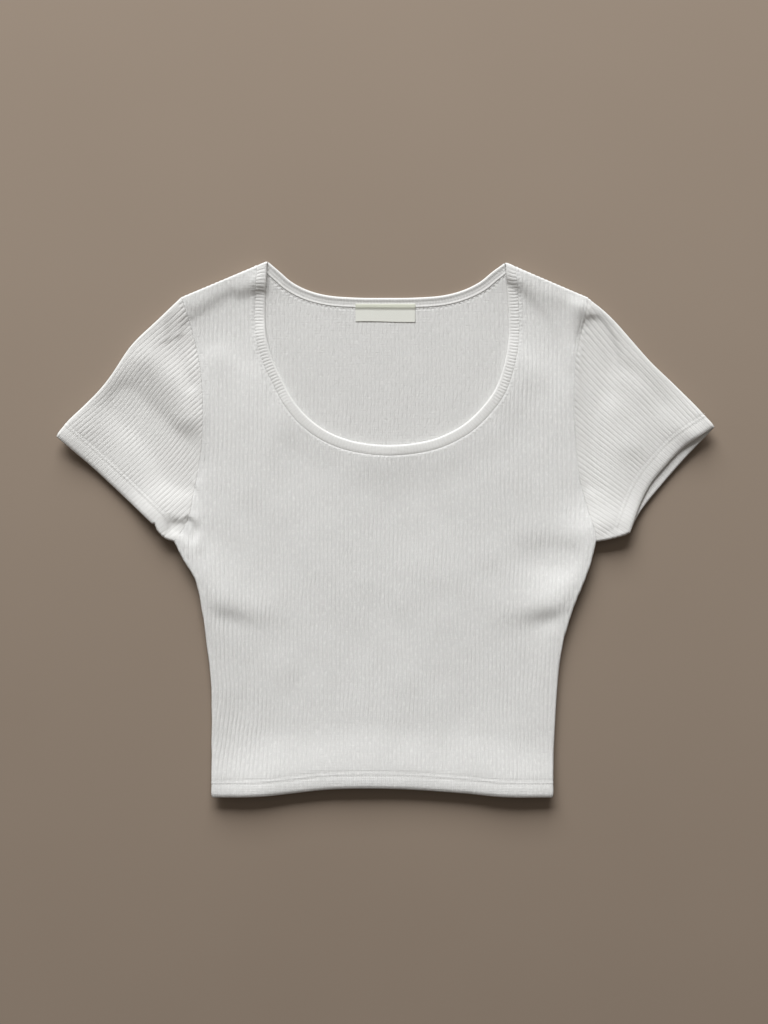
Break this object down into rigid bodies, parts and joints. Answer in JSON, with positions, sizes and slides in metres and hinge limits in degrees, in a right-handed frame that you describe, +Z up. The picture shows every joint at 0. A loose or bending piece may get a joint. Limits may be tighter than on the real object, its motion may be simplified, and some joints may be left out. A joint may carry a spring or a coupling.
{
  "type": "crop top",
  "caption": "Short-sleeved scoop-neck crop top in ribbed knit, laid out flat, with a bound neckline, turned-up hem and cuffs and a blank neck label.",
  "frame": {"origin": "on the surface that the garment lies on, under the middle of its bounding box", "axes": "+X across the garment from sleeve to sleeve, towards the sleeve on the right of a reader looking down on it; +Y from hem to neck; +Z up from the surface"},
  "size_m": [0.536, 0.437, 0.0071],
  "materials": {
    "knit_body": "white rib knit, matte",
    "knit_back": "white rib knit seen from inside, matte",
    "knit_sleeve": "white rib knit, matte",
    "knit_band": "white rib knit folded double, matte",
    "label_tape": "ivory woven tape, blank, slight sheen"
  },
  "bodies": {
    "root": {"front_panel": "knit_body", "back_panel": "knit_back", "sleeve_left": "knit_sleeve", "sleeve_right": "knit_sleeve", "neck_binding": "knit_band", "label": "label_tape"}
  },
  "joints": []
}
